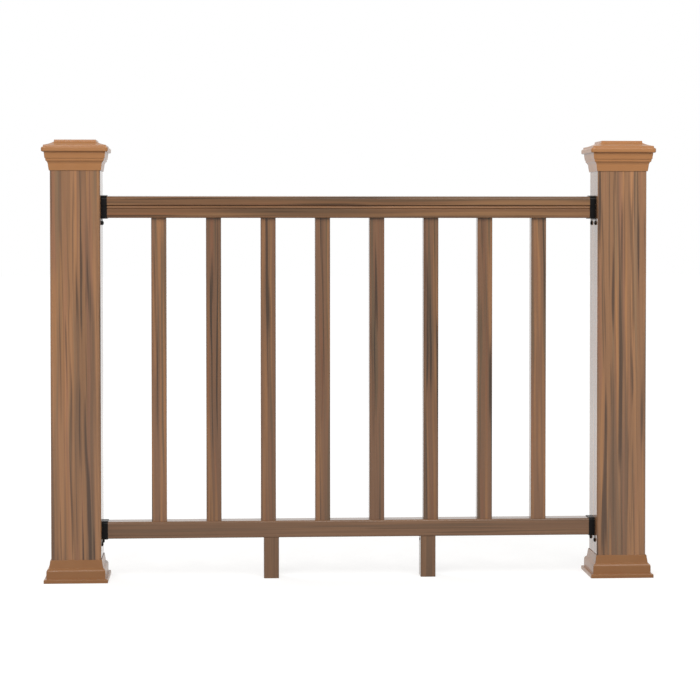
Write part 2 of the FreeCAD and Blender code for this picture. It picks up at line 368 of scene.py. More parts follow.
# Bottom rail: greyer and calmer, with a glossier skin on which its top shines
BOTTOM_RAIL_COMPOSITE = replace(
    HANDRAIL_COMPOSITE,
    name="bottom_rail_brushed_composite",
    body="#7f6049",
    layers=(
        Streaks("#8e6b50", (12.0, 900.0), 0.50, 0.64, 0.60),
        Streaks("#6c5644", (12.0, 800.0), 0.50, 0.64, 0.60),
        Streaks("#564435", (6.0, 520.0), 0.58, 0.70, 0.50),
    ),
    surface=replace(BRUSHED_SURFACE, skin=0.25),
)
# Foot blocks: offcuts of the same grey, set on end
FOOT_COMPOSITE = replace(BOTTOM_RAIL_COMPOSITE, name="foot_brushed_composite", grain=Grain.UPRIGHT)
# Balusters: a few narrow streaks each, and a tone of its own for every bar
BALUSTER_COMPOSITE = StreakedComposite(
    "baluster_brushed_composite",
    Grain.UPRIGHT,
    "#825e44",
    (
        Streaks("#9f714a", (12.0, 900.0), 0.50, 0.64, 0.75),
        Streaks("#68543f", (12.0, 800.0), 0.51, 0.64, 0.80),
        Streaks("#8a563b", (8.0, 560.0), 0.56, 0.70, 0.45),
        Streaks("#3f3024", (8.0, 600.0), 0.59, 0.70, 0.85),
    ),
)
# Caps: injection-moulded ABS, coloured through and left with the mould's satin face. One even golden brown
# with a faint cloudiness from the melt's flow, and a soft sheen that runs along the coves and the brim.
# The mould's spark texture is finer than a pixel of the render, so it is drawn at three times its size.
CAP_TRIM = MottledFinish(
    "cap_moulded_abs",
    "#ae7748",
    "#b37e50",
    mottle_mm=34.0,
    mottle_detail=3.0,
    texture_mm=1.5,
    surface=Surface(
        roughness=0.34, roughness_swing=0.16, relief=0.4, relief_depth_mm=0.05,
        shine=0.1, skin=0.4, skin_roughness=0.18,
    ),
)
# Skirts: the same moulding in a browner tone
SKIRT_TRIM = replace(CAP_TRIM, name="skirt_moulded_abs", colour="#97663e", mottle="#9c6e46")
# Brackets: powder-coated steel. The powder melts into a near black skin with a dull sheen on the edges,
# and its fine orange-peel surface is rubbed here and there.
BRACKET_COAT = MottledFinish(
    "bracket_powder_coated_steel",
    "#060505",
    "#0e0c0b",
    mottle_mm=11.0,
    mottle_detail=4.0,
    texture_mm=1.4,
    surface=Surface(roughness=0.3, roughness_swing=0.2, relief=0.4, relief_depth_mm=0.04, shine=0.12),
)
# Screws: black oxide on steel, a little greyer and duller than the brackets
SCREW_COAT = replace(
    BRACKET_COAT,
    name="screw_black_oxide_steel",
    colour="#080706",
    mottle="#12100e",
    surface=replace(BRACKET_COAT.surface, roughness=0.4),
)


def bulge_of(angle_deg: float) -> float:
    """Bulge of an arc that turns by an angle: the tangent of a quarter of it."""
    return math.tan(math.radians(angle_deg) / 4)


QUARTER_ROUND = bulge_of(90.0)
SHOULDER_ROUND = bulge_of(70.0)
HALF_ROUND = bulge_of(180.0)
SOFT_HOLLOW = bulge_of(50.0)
SLIGHT_HOLLOW = bulge_of(20.0)


def arc_points(start: Point, end: Point, bulge: float, pieces: int) -> list[Point]:
    """Points along an arc, without its start.

    Args:
        start: First point.
        end: Last point.
        bulge: Tangent of a quarter of the arc's angle, positive where it swells to the right of its way.
        pieces: Straight pieces to draw it with.

    Returns:
        The points after the start, up to and with the end.
    """
    first, last = complex(*start), complex(*end)
    centre = (first + last) / 2 + 1j * (last - first) * (1 - bulge * bulge) / (4 * bulge)
    turns = [4 * math.atan(bulge) * piece / pieces for piece in range(1, pieces + 1)]
    spots = [centre + (first - centre) * cmath.rect(1.0, turn) for turn in turns]
    return [(spot.real, spot.imag) for spot in spots]


def outline_points(steps: Sequence[Step], arc_pieces: int = 8) -> list[Point]:
    """Points along an outline of straight and round steps.

    Args:
        steps: Across, up and bulge of each step; the first bulge isn't used.
        arc_pieces: Straight pieces in each arc.

    Returns:
        The outline's points.
    """
    points = [steps[0][:2]]
    for across, up, bulge in steps[1:]:
        points += arc_points(points[-1], (across, up), bulge, arc_pieces) if bulge else [(across, up)]
    return points


def softened(points: Sequence[Point], radius: float, closed: bool) -> list[Point]:
    """Round the sharp corners of an outline, as a mould or a die leaves them.

    Args:
        points: Outline to round.
        radius: Radius of the rounding; short sides get less.
        closed: Whether the last point joins the first.

    Returns:
        The rounded outline.
    """
    sharp_turn = math.radians(20.0)
    most_of_side = 0.45
    corner_pieces = 3
    count = len(points)
    soft: list[Point] = []
    for index, point in enumerate(points):
        before, after = Vector(points[index - 1]), Vector(points[(index + 1) % count])
        here = Vector(point)
        arriving, leaving = here - before, after - here
        at_end = not closed and index in (0, count - 1)
        turn = 0.0 if at_end else -arriving.angle_signed(leaving, 0.0)
        if abs(turn) < sharp_turn:
            soft.append(point)
            continue
        longest = most_of_side * min(arriving.length, leaving.length)
        cut = min(radius * math.tan(abs(turn) / 2), longest)
        first = here - arriving.normalized() * cut
        last = here + leaving.normalized() * cut
        soft.append(tuple(first))
        soft += arc_points(tuple(first), tuple(last), math.tan(turn / 4), corner_pieces)
    return soft


def applied(piece: Piece) -> Piece:
    """Turn a piece's modifiers into plain mesh.

    Args:
        piece: Object with modifiers.

    Returns:
        The same object with the evaluated mesh and no modifier.
    """
    depsgraph = bpy.context.evaluated_depsgraph_get()
    mesh = bpy.data.meshes.new_from_object(
        piece.evaluated_get(depsgraph), preserve_all_data_layers=True, depsgraph=depsgraph
    )
    piece.modifiers.clear()
    worn_out = piece.data
    piece.data = mesh
    bpy.data.meshes.remove(worn_out)
    mesh.name = piece.name
    return piece


def linked(name: str, mesh: Mesh) -> Piece:
    """Make an object of a mesh and put it in the scene.

    Args:
        name: Name of the object.
        mesh: Its mesh.

    Returns:
        The object.
    """
    piece = bpy.data.objects.new(name, mesh)
    bpy.context.scene.collection.objects.link(piece)
    return piece


def skinned(name: str, loops: Sequence[Sequence[Any]], closed: bool = False) -> Piece:
    """Skin a row of loops, with the faces pointing outwards.

    Args:
        name: Name of the object and of its mesh.
        loops: Places round each loop, with as many in each.
        closed: Whether the last loop joins the first, as round a tube, or both ends are covered.

    Returns:
        The object, linked to the scene.
    """
    form = bmesh.new()
    made = [[form.verts.new(place) for place in loop] for loop in loops]
    if closed:
        made.append(made[0])
    else:
        form.faces.new(made[0])
        form.faces.new(made[-1])
    for lower, upper in zip(made, made[1:]):
        for index in range(len(lower)):
            following = (index + 1) % len(lower)
            form.faces.new((lower[index], lower[following], upper[following], upper[index]))
    bmesh.ops.recalc_face_normals(form, faces=form.faces)
    mesh = bpy.data.meshes.new(name)
    form.to_mesh(mesh)
    form.free()
    return linked(name, mesh)


def dressed(
    piece: Piece,
    material: Material | None,
    nodes: Sequence[str],
    tone_at: Callable[[Vector], float] | None = None,
) -> None:
    """Finish a piece: smooth its round faces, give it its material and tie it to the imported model.

    Args:
        piece: Object with the piece's shape.
        material: Finish to wear, or None where the mesh has one already.
        nodes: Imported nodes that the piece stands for.
        tone_at: How much lighter than its finish the piece is at a place in metres, as a share.
    """
    piece.data.shade_smooth()
    piece.data.set_sharp_from_angle(angle=SMOOTH_ANGLE)
    weighted = piece.modifiers.new("flat faces first", "WEIGHTED_NORMAL")
    weighted.keep_sharp = True
    mesh = applied(piece).data
    if tone_at:
        tones = mesh.attributes.new("tone", "FLOAT", "POINT")
        tones.data.foreach_set("value", [tone_at(point.co) for point in mesh.vertices])
    if material:
        mesh.materials.append(material)
    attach(piece, BODY)
    if nodes:
        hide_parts(*nodes)
    LOG.info("%s: %d faces", piece.name, len(mesh.polygons))


def square_form(
    name: str, centre_x: float, rings: Sequence[Triple], closed: bool, corner_pieces: int = 5
) -> Piece:
    """Skin rounded squares one after another, like a square lathe.

    Args:
        name: Name of the object.
        centre_x: Middle of the squares along the railing, in metres.
        rings: Half width, height and corner radius of each square, in millimetres.
        closed: As for skinned.
        corner_pieces: Straight pieces in each corner.

    Returns:
        The object, in place along the railing.
    """
    quarter = math.tau / 4
    loops = []
    for half, height, radius in rings:
        loop = []
        for turn in (0.0, quarter, 2 * quarter, 3 * quarter):
            heart = cmath.rect((half - radius) * math.sqrt(2), turn + quarter / 2)
            for piece in range(corner_pieces + 1):
                spot = heart + cmath.rect(radius, turn + quarter * piece / corner_pieces)
                loop.append((centre_x + spot.real * MM, spot.imag * MM, height * MM))
        loops.append(loop)
    return skinned(name, loops, closed)


@dataclass
class Post:
    """Sleeved post with its moulded cap and skirt."""

    side: Side
    sleeve_tone: float
    wall: float = 9.0
    corner_radius: float = 6.0
    corner_pieces: int = 6
    bore_radius: float = 3.0
    edge: float = 0.6
    mitre_radius: float = 0.9
    mould_radius: float = 0.7
    cap_fit: float = 0.4
    cap_neck_draft: float = 2.0
    cap_neck_height: float = 12.5
    cap_cove_height: float = 10.2
    cap_cove_reach: float = 4.2
    cap_quirk: float = 1.0
    cap_band_draft: float = 0.6
    cap_band_height: float = 6.0
    cap_drip_step: float = 1.4
    cap_fascia_draft: float = 2.0
    cap_fascia_height: float = 15.3
    cap_brim_reach: float = 6.2
    cap_brim_height: float = 11.2
    cap_brim_edge_radius: float = 3.0
    cap_brim_corner_radius: float = 6.0
    cap_fillet_inset: float = 4.6
    cap_fillet_draft: float = 0.6
    cap_fillet_height: float = 5.0
    cap_slope_reach: float = 23.4
    cap_slope_height: float = 8.0
    cap_step_draft: float = 0.5
    cap_roof: float = 9.0
    skirt_fit: float = 0.4
    skirt_wall: float = 3.0
    skirt_collar_flare: float = 3.0
    skirt_shoulder_reach: float = 5.8
    skirt_shoulder_height: float = 8.3
    skirt_band_height: float = 17.0
    skirt_ledge_reach: float = 6.0
    skirt_plinth_height: float = 9.0
    skirt_plinth_radius: float = 2.0

    def node(self, piece: str) -> str:
        """Name of one of the post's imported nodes."""
        return f"{self.side.word}_post_{piece}"

    def span(self, piece: str) -> tuple[float, float, float, float]:
        """Middle in metres, and half width, bottom and top in millimetres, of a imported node."""
        low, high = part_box(self.node(piece))
        return (low.x + high.x) / 2, (high.x - low.x) / 2 / MM, low.z / MM, high.z / MM

    def build(self, sleeve: Material, cap: Material, skirt: Material) -> None:
        """Build and dress the sleeve, the cap and the skirt.

        Args:
            sleeve: Finish of the sleeve.
            cap: Finish of the cap.
            skirt: Finish of the skirt.
        """
        tube = self.sleeve()
        dressed(tube, sleeve, [self.node("sleeve")], lambda place: self.sleeve_tone)
        dressed(self.cap(), cap, [self.node("cap")])
        dressed(self.skirt(), skirt, [self.node("skirt")])

    def sleeve(self) -> Piece:
        """Hollow sleeve with lightly eased ends.

        Returns:
            The object.
        """
        middle, half, bottom, top = self.span("sleeve")
        bore = half - self.wall
        rings = [
            (half - self.edge, bottom, self.corner_radius),
            (half, bottom + self.edge, self.corner_radius),
            (half, top - self.edge, self.corner_radius),
            (half - self.edge, top, self.corner_radius),
            (bore, top, self.bore_radius),
            (bore, bottom, self.bore_radius),
        ]
        return square_form(f"{self.side.word}_sleeve", middle, rings, True, self.corner_pieces)

    def cap(self) -> Piece:
        """Hollow cap: plateau, slope, fillet, brim, fascia, band, cove and neck, and the sleeve's socket.

        Returns:
            The object.
        """
        middle, brim, bottom, top = self.span("cap")
        _, sleeve_half, _, sleeve_top = self.span("sleeve")
        fillet = brim - self.cap_fillet_inset
        slope = fillet - self.cap_fillet_draft
        step = slope - self.cap_slope_reach
        nose = self.cap_brim_edge_radius
        fascia_top = brim - self.cap_brim_reach
        fascia = fascia_top - self.cap_fascia_draft
        band_top = fascia - self.cap_drip_step
        band = band_top - self.cap_band_draft
        cove = band - self.cap_quirk
        neck = cove - self.cap_cove_reach
        lip = neck - self.cap_neck_draft
        socket = sleeve_half + self.cap_fit
        neck_top = bottom + self.cap_neck_height
        cove_top = neck_top + self.cap_cove_height
        fascia_bottom = cove_top + self.cap_band_height
        brim_bottom = fascia_bottom + self.cap_fascia_height
        brim_top = brim_bottom + self.cap_brim_height
        fillet_top = brim_top + self.cap_fillet_height
        slope_top = fillet_top + self.cap_slope_height
        outline = outline_points([
            (step - self.cap_step_draft, top, 0),
            (step, slope_top, 0),
            (slope, fillet_top, SLIGHT_HOLLOW),
            (fillet, brim_top, 0),
            (brim - nose, brim_top, 0),
            (brim, brim_top - nose, -QUARTER_ROUND),
            (brim, brim_bottom + nose, 0),
            (brim - nose, brim_bottom, -QUARTER_ROUND),
            (fascia_top, brim_bottom, 0),
            (fascia, fascia_bottom, 0),
            (band_top, fascia_bottom, 0),
            (band, cove_top, 0),
            (cove, cove_top, 0),
            (neck, neck_top, SOFT_HOLLOW),
            (lip, bottom, 0),
            (socket, bottom, 0),
        ])
        rounded = softened([(0.0, top), *outline, (socket, sleeve_top)], self.mould_radius, closed=False)
        rings = []
        for half, height in rounded[1:-1]:
            corner = max(0.0, (half - fillet) / (brim - fillet))
            radius = self.mitre_radius + corner * (self.cap_brim_corner_radius - self.mitre_radius)
            rings.append((half, height, self.corner_radius if half == socket else radius))
        bore = sleeve_half - self.wall
        rings += [
            (socket, sleeve_top, self.corner_radius),
            (bore, sleeve_top, self.bore_radius),
            (bore, top - self.cap_roof, self.bore_radius),
        ]
        return square_form(f"{self.side.word}_cap", middle, rings, closed=False)

    def skirt(self) -> Piece:
        """Thin skirt: plinth, ledge, band, round shoulder and flared collar, hollow underneath.

        Returns:
            The object.
        """
        middle, plinth, bottom, top = self.span("skirt")
        wall = self.skirt_wall
        band = plinth - self.skirt_ledge_reach
        collar = band - self.skirt_shoulder_reach
        lip = collar - self.skirt_collar_flare
        hole = self.span("sleeve")[1] + self.skirt_fit
        plinth_top = bottom + self.skirt_plinth_height
        band_top = plinth_top + self.skirt_band_height
        collar_bottom = band_top + self.skirt_shoulder_height
        outside = outline_points([
            (plinth, bottom, 0),
            (plinth, plinth_top - self.skirt_plinth_radius, 0),
            (plinth - self.skirt_plinth_radius, plinth_top, QUARTER_ROUND),
            (band, plinth_top, 0),
            (band, band_top, 0),
            (collar, collar_bottom, SHOULDER_ROUND),
            (lip, top, 0),
        ])
        inside = [
            (hole, top),
            (hole, band_top - wall),
            (band - wall, band_top - wall),
            (band - wall, plinth_top - wall),
            (plinth - wall, plinth_top - wall),
            (plinth - wall, bottom),
        ]
        rounded = softened([*outside, *inside], self.mould_radius, closed=True)
        rings = [(half, up, self.corner_radius if half < lip else self.mitre_radius) for half, up in rounded]
        return square_form(f"{self.side.word}_skirt", middle, rings, closed=True)


@dataclass
class Rail:
    """Extruded rail, drawn as an outline across the railing and pulled along it."""

    node: str
    tone: float
    die_radius: float = 0.5

    @property
    def extent(self) -> Triple:
        """Bottom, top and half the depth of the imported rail, in millimetres."""
        low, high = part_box(self.node)
        return low.z / MM, high.z / MM, (high.y - low.y) / 2 / MM

    def right_half(self) -> list[Step]:
        """Steps of the outline's right half, from the underside's middle to the top's, in millimetres."""
        raise NotImplementedError

    def tone_at(self, place: Vector) -> float:
        """Tone of the point at a place on the rail; one tone unless a rail has more."""
        return self.tone

    def build(self, material: Material) -> None:
        """Build and dress the rail.

        Args:
            material: Finish of the rail.
        """
        low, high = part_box(self.node)
        right = outline_points(self.right_half())
        left = [(-across, up) for across, up in reversed(right[1:-1])]
        outline = softened(right[1:-1] + left, self.die_radius, closed=True)
        ends = [[(x, across * MM, up * MM) for across, up in outline] for x in (low.x, high.x)]
        piece = skinned(f"{self.node}_profile", ends)
        dressed(piece, material, [self.node], self.tone_at)


@dataclass
class Handrail(Rail):
    """Top rail: body, groove, bead, groove and a crowned top, with a highlight painted along the bead."""

    body_depth: float = 54.0
    body_height: float = 20.5
    body_radius: float = 2.5
    waist_depth: float = 50.0
    groove_height: float = 2.5
    bead_radius: float = 2.5
    # Painted highlight: how much paler the bead's outward face is painted, standing in for the light it
    # catches
    bead_tone: float = 0.55
    crown_radius: float = 7.0
    crown_lip_radius: float = 1.5
    crown_rise: float = 1.5

    def tone_at(self, place: Vector) -> float:
        """Tone of the point at a place on the rail: the bead's outward face is painted paler than the rest, a
        painted highlight along it.

        Args:
            place: Point of the mesh, in metres.

        Returns:
            The tone.
        """
        middle = self.extent[0] + self.body_height + self.groove_height + self.bead_radius
        reach = abs(place.y) / MM - self.waist_depth / 2
        on_bead = abs(place.z / MM - middle) < self.bead_radius
        # Painted highlight: the bead gets paler the further its face turns outward
        return self.tone + (self.bead_tone * max(0.0, reach / self.bead_radius) if on_bead else 0.0)

    def right_half(self) -> list[Step]:
        """Steps up the body, past the groove, round the bead and over the crown.

        Returns:
            Across, up and bulge of each step.
        """
        bottom, top, crown = self.extent
        body, waist = self.body_depth / 2, self.waist_depth / 2
        body_top = bottom + self.body_height
        bead_bottom = body_top + self.groove_height
        bead_top = bead_bottom + 2 * self.bead_radius
        crown_bottom = bead_top + self.groove_height
        edge_top = top - self.crown_rise
        flat = crown - self.crown_radius
        crown_bulge = math.tan(math.atan(self.crown_rise / flat) / 2)
        return [
            (0.0, bottom, 0),
            (body - self.body_radius, bottom, 0),
            (body, bottom + self.body_radius, QUARTER_ROUND),
            (body, body_top, 0),
            (waist, body_top, 0),
            (waist, bead_bottom, 0),
            (waist, bead_top, HALF_ROUND),
            (waist, crown_bottom, 0),
            (crown - self.crown_lip_radius, crown_bottom, 0),
            (crown, crown_bottom + self.crown_lip_radius, QUARTER_ROUND),
            (crown, edge_top - self.crown_radius, 0),
            (flat, edge_top, QUARTER_ROUND),
            (0.0, top, crown_bulge),
        ]


@dataclass
class BottomRail(Rail):
    """Plain bottom rail with rounded edges."""

    top_radius: float = 5.0
    lower_radius: float = 2.0

    def right_half(self) -> list[Step]:
        """Steps round the lower and the upper edge.

        Returns:
            Across, up and bulge of each step.
        """
        bottom, top, half = self.extent
        return [
            (0.0, bottom, 0),
            (half - self.lower_radius, bottom, 0),
            (half, bottom + self.lower_radius, QUARTER_ROUND),
            (half, top - self.top_radius, 0),
            (half - self.top_radius, top, QUARTER_ROUND),
            (0.0, top, 0),
        ]


def new_tree(name: str, inputs: dict[str, Sequence[str]]) -> tuple[Tree, Adder, Any]:
    """Start a geometry node tree with one geometry output.

    Args:
        name: Name of the tree.
        inputs: Names of the inputs, by the kind of their sockets.

    Returns:
        The tree, add_node for it, and the sockets that give its inputs, by name.
    """
    tree = bpy.data.node_groups.new(name, "GeometryNodeTree")
    for kind, labels in inputs.items():
        for label in labels:
            tree.interface.new_socket(label, in_out="INPUT", socket_type=f"NodeSocket{kind}")
    tree.interface.new_socket("Geometry", in_out="OUTPUT", socket_type="NodeSocketGeometry")
    add = partial(add_node, tree)
    return tree, add, add("NodeGroupInput")


def end_tree(add: Adder, instances: Socket, finish: Socket) -> None:
    """End a tree in Realize Instances and Set Material.

    Args:
        add: Adds a node to the tree.
        instances: Geometry to realize.
        finish: Material to set.
    """
    real = add("GeometryNodeRealizeInstances", {}, {0: instances})
    clad = add("GeometryNodeSetMaterial", {}, {"Geometry": real[0], "Material": finish})
    add("NodeGroupOutput", {}, {0: clad[0]})


def run_tree(piece: Piece, tree: Tree, values: dict[str, Any]) -> Piece:
    """Run a geometry node tree on an object and keep the plain mesh.

    Args:
        piece: Object that the tree works on.
        tree: Tree to run.
        values: Value of each named input.

    Returns:
        The same object with its new mesh.
    """
    modifier = piece.modifiers.new(tree.name, "NODES")
    modifier.node_group = tree
    identifiers = {item.name: item.identifier for item in tree.interface.items_tree if item.in_out == "INPUT"}
    for label, value in values.items():
        modifier[identifiers[label]] = value
    return applied(piece)


@dataclass
class BarRow:
    """Row of equal upright bars: the balusters, or the foot blocks."""

    name: str
    nodes: Sequence[str]
    toe_screw_drop: float = 10.0
    toe_screw_sink: float = 1.8
    radius: float = 3.0
    corner_pieces: int = 4
    tone_spread: float = 0.2
    seed: int = 682

    @staticmethod
    def tree() -> Tree:
        """Tree that sets bars with rounded corners in a row, each with a tone of its own.

        Returns:
            The tree.
        """
        tree, add, value = new_tree("bar_row", {
            "Int": ("Count", "Corner pieces", "Seed"),
            "Float": ("Width", "Depth", "Corner radius", "Tone spread"),
            "Vector": ("First", "Pitch", "Length"),
            "Material": ("Finish",),
        })
        plan = {"Width": value["Width"], "Height": value["Depth"]}
        outline = add("GeometryNodeCurvePrimitiveQuadrilateral", {}, plan)[0]
        corners = {"Curve": outline, "Radius": value["Corner radius"], "Count": value["Corner pieces"]}
        section = add("GeometryNodeFilletCurve", {"mode": "POLY"}, corners)[0]
        axis = add("GeometryNodeCurvePrimitiveLine", {}, {"End": value["Length"]})[0]
        sweep = {"Curve": axis, "Profile Curve": section}
        bar = add("GeometryNodeCurveToMesh", {"Fill Caps": True}, sweep)[0]
        line = {"Count": value["Count"], "Start Location": value["First"], "Offset": value["Pitch"]}
        places = add("GeometryNodeMeshLine", {}, line)[0]
        row = add("GeometryNodeInstanceOnPoints", {}, {"Points": places, "Instance": bar})[0]
        spread = value["Tone spread"]
        lowest = add("ShaderNodeMath", {"operation": "MULTIPLY", 1: -1.0}, {0: spread})[0]
        limits = {2: lowest, 3: spread, "Seed": value["Seed"]}
        tone = add("FunctionNodeRandomValue", {"data_type": "FLOAT"}, limits)[1]
        stored = {"data_type": "FLOAT", "domain": "INSTANCE", "Name": "tone"}
        bars = add("GeometryNodeStoreNamedAttribute", stored, {"Geometry": row, "Value": tone})
        end_tree(add, bars[0], value["Finish"])
        return tree

    def build(self, tree: Tree, material: Material) -> None:
        """Build and dress the row.

        Args:
            tree: Tree that makes the bars.
            material: Finish of the bars.
        """
        boxes = [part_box(node) for node in self.nodes]
        low, high = boxes[0]
        reach = boxes[-1][0].x - low.x
        piece = run_tree(linked(self.name, bpy.data.meshes.new(self.name)), tree, {
            "Count": len(boxes),
            "First": ((low.x + high.x) / 2, (low.y + high.y) / 2, low.z),
            "Pitch": (reach / (len(boxes) - 1), 0.0, 0.0),
            "Width": high.x - low.x,
            "Depth": high.y - low.y,
            "Length": (0.0, 0.0, high.z - low.z),
            "Corner radius": self.radius * MM,
            "Corner pieces": self.corner_pieces,
            "Tone spread": self.tone_spread,
            "Seed": self.seed,
            "Finish": material,
        })
        form = bmesh.new()
        form.from_mesh(piece.data)
        bmesh.ops.remove_doubles(form, verts=form.verts, dist=MERGE_DISTANCE)
        form.to_mesh(piece.data)
        form.free()
        dressed(piece, None, self.nodes)

    def toe_screw_seat(self) -> Seat:
        """Where a screw through the last bar's left side holds it to the rail above.

        Returns:
            Seat and outward direction of the screw.
        """
        low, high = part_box(self.nodes[-1])
        seat = Vector((low.x + self.toe_screw_sink * MM, 0.0, high.z - self.toe_screw_drop * MM))
        return seat, Vector((-1.0, 0.0, 0.0))


@dataclass
class CollarBracket:
    """Black collar round a rail's end, on a thin back plate with two screw ears below the rail."""

    level: Level
    side: Side
    edge: float = 0.4
    edge_pieces: int = 2
    sharp_deg: float = 40.0
    flat_deg: float = 0.5
    plate_gauge: float = 1.0
    ear_radius: float = 5.0
    screw_spacing: float = 58.0

    @property
    def node(self) -> str:
        """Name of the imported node."""
        return f"{self.level.value}_{self.side.word}_bracket"

    def build(self, material: Material) -> None:
        """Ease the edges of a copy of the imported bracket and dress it.

        Args:
            material: Finish of the bracket.
        """
        form = bmesh.new()
        form.from_mesh(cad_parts[self.node].data)
        bmesh.ops.remove_doubles(form, verts=form.verts, dist=MERGE_DISTANCE)
        flat = math.radians(self.flat_deg)
        bmesh.ops.dissolve_limit(form, angle_limit=flat, verts=form.verts, edges=form.edges)
        mesh = bpy.data.meshes.new(f"{self.node}_coated")
        form.to_mesh(mesh)
        form.free()
        piece = linked(mesh.name, mesh)
        eased = piece.modifiers.new("eased edges", "BEVEL")
        eased.width = self.edge * MM
        eased.segments = self.edge_pieces
        eased.limit_method = "ANGLE"
        eased.angle_limit = math.radians(self.sharp_deg)
        dressed(applied(piece), material, [self.node])

    def screw_seats(self) -> list[Seat]:
        """Where the bracket's two screw heads sit, and which way they face.

        Returns:
            Seat and outward direction of each screw.
        """
        low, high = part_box(self.node)
        inward = -self.side.value
        post_face = high.x if self.side is Side.RIGHT else low.x
        seat_x = post_face + inward * self.plate_gauge * MM
        seat_z = low.z + self.ear_radius * MM
        reach = self.screw_spacing / 2 * MM
        return [(Vector((seat_x, y, seat_z)), Vector((inward, 0.0, 0.0))) for y in (-reach, reach)]


@dataclass
class ScrewSet:
    """Pan-head screws with a square drive, set wherever the brackets and the feet are fastened."""

    seats: Sequence[Seat]
    head_radius: float = 4.8
    head_height: float = 2.6
    flange: float = 0.7
    crown_deg: float = 70.0
    crown_pieces: int = 4
    rim: float = 0.1
    drive: float = 1.7
    drive_depth: float = 1.9
    sides: int = 16
    seed: int = 11

    def head(self) -> Piece:
        """One screw head, seated on the XY plane.

        Returns:
            The object.
        """
        crown = math.radians(self.crown_deg)
        rings = [(self.head_radius, 0.0), (self.head_radius, self.flange)]
        for piece in range(1, self.crown_pieces + 1):
            angle = crown * piece / self.crown_pieces
            rise = self.flange + (self.head_height - self.flange) * math.sin(angle) / math.sin(crown)
            rings.append((self.head_radius * math.cos(angle), rise))
        turns = [math.tau * index / self.sides for index in range(self.sides)]
        loops = [[self.round_point(turn, out, rise) for turn in turns] for out, rise in rings]
        for rise in (self.head_height + self.rim, self.head_height - self.drive_depth):
            loops.append([self.square_point(turn, rise) for turn in turns])
        return skinned("screw_head", loops)

    @staticmethod
    def round_point(turn: float, out: float, rise: float) -> Vector:
        """Place on a circle about the screw's axis, from millimetres."""
        return Vector((out * math.cos(turn), out * math.sin(turn), rise)) * MM

    def square_point(self, turn: float, rise: float) -> Vector:
        """Place on the square drive recess."""
        out = self.drive / max(abs(math.cos(turn)), abs(math.sin(turn)))
        return self.round_point(turn, out, rise)

    @staticmethod
    def tree() -> Tree:
        """Tree that sets a screw head on each point, facing its aim and turned at random.

        Returns:
            The tree.
        """
        inputs = {"Geometry": ("Geometry",), "Object": ("Head",), "Int": ("Seed",), "Material": ("Finish",)}
        tree, add, value = new_tree("screw_set", inputs)
        head = add("GeometryNodeObjectInfo", {}, {"Object": value["Head"]})["Geometry"]
        aim = add("GeometryNodeInputNamedAttribute", {"data_type": "FLOAT_VECTOR", "Name": "aim"})[0]
        facing = add("FunctionNodeAlignRotationToVector", {"axis": "Z"}, {"Vector": aim})[0]
        any_turn = {"data_type": "FLOAT_VECTOR", 1: (0.0, 0.0, math.tau)}
        turn = add("FunctionNodeRandomValue", any_turn, {"Seed": value["Seed"]})[0]
        spin = add("FunctionNodeEulerToRotation", {}, {0: turn})[0]
        driven = add("FunctionNodeRotateRotation", {"rotation_space": "LOCAL"}, {0: facing, 1: spin})[0]
        seated = {"Points": value["Geometry"], "Instance": head, "Rotation": driven}
        heads = add("GeometryNodeInstanceOnPoints", {}, seated)[0]
        end_tree(add, heads, value["Finish"])
        return tree

    def build(self, material: Material) -> None:
        """Build and dress all the screws as one piece.

        Args:
            material: Finish of the screws.
        """
        mesh = bpy.data.meshes.new("screws")
        mesh.from_pydata([seat for seat, _ in self.seats], [], [])
        aims = mesh.attributes.new("aim", "FLOAT_VECTOR", "POINT")
        aims.data.foreach_set("vector", [number for _, aim in self.seats for number in aim])
        head = self.head()
        values = {"Head": head, "Seed": self.seed, "Finish": material}
        piece = run_tree(linked("screws", mesh), self.tree(), values)
        head_mesh = head.data
        bpy.data.objects.remove(head)
        bpy.data.meshes.remove(head_mesh)
        dressed(piece, None, [])


@dataclass(frozen=True)
class SoftBox:
    """Square soft lamp."""

    name: str
    place: Triple
    aim: Triple
    width: float
    watts: float

    def hang(self) -> None:
        """Hang the lamp at its place, facing its aim."""
        light = bpy.data.lights.new(self.name, "AREA")
        light.size = self.width
        light.energy = self.watts
        lamp = bpy.data.objects.new(self.name, light)
        lamp.location = self.place
        lamp.rotation_euler = (Vector(self.aim) - Vector(self.place)).to_track_quat("-Z", "Y").to_euler()
        bpy.context.scene.collection.objects.link(lamp)


